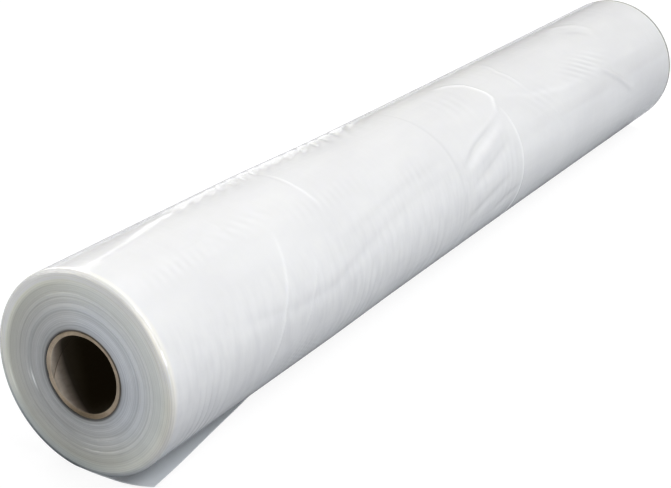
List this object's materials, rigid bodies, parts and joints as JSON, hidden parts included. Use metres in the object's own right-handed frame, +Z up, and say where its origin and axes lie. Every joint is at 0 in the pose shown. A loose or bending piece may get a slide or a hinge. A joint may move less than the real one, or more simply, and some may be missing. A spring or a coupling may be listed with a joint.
{
  "type": "roll of shrink film",
  "caption": "Long roll of translucent polyethylene shrink film wound on a cardboard core, lying on its side with a loose tail of film.",
  "frame": {"origin": "on the floor, under the middle of the roll", "axes": "+Y along the roll's axis, away from the end that the picture shows; +X to the side where the loose tail runs out; +Z up"},
  "size_m": [0.2, 1.3, 0.199],
  "materials": {
    "core_board": "matt brown tube board",
    "film_web": "glossy translucent film, many turns deep"
  },
  "bodies": {
    "root": {"core": "core_board", "film": "film_web"}
  },
  "joints": []
}
